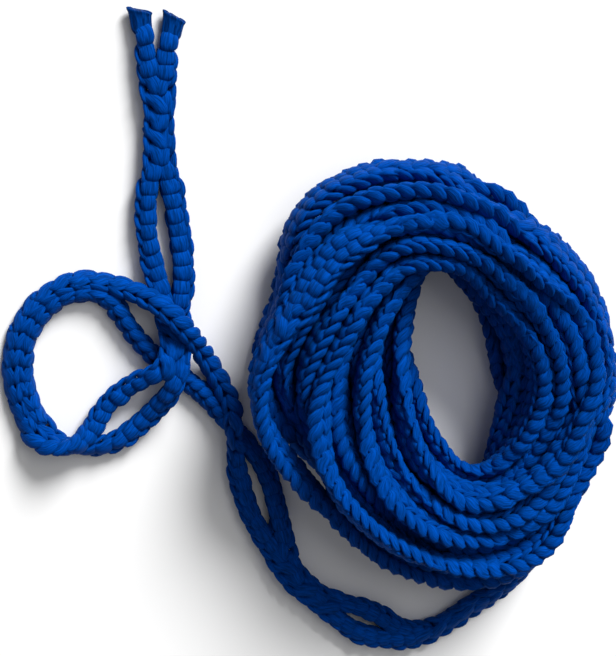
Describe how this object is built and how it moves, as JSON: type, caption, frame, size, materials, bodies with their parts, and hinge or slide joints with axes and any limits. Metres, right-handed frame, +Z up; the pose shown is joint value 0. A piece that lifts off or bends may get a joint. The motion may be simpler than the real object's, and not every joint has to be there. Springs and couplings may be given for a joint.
{
  "type": "coiled knitted line",
  "caption": "Soft knitted line of two chain-stitch legs that join and part into eyelets, wound into a thick oval coil with a looped free tail and heat-sealed ends.",
  "frame": {"origin": "the middle of the whole object's footprint, on the surface it lies on", "axes": "+Z up, out of the surface the line lies on; +Y along the longer side of the footprint, towards the sealed ends of the tail; +X from the tail to the coil"},
  "size_m": [0.1928, 0.2194, 0.0425],
  "materials": {
    "line": "soft multifilament yarn, dyed royal blue, low satin sheen",
    "sealed_tip": "yarn melted and pressed flat at the cut, slightly darker and smoother"
  },
  "bodies": {
    "root": {"coil": "line", "leg_a": "line", "leg_b": "line", "end_a": "sealed_tip", "end_b": "sealed_tip"}
  },
  "joints": []
}
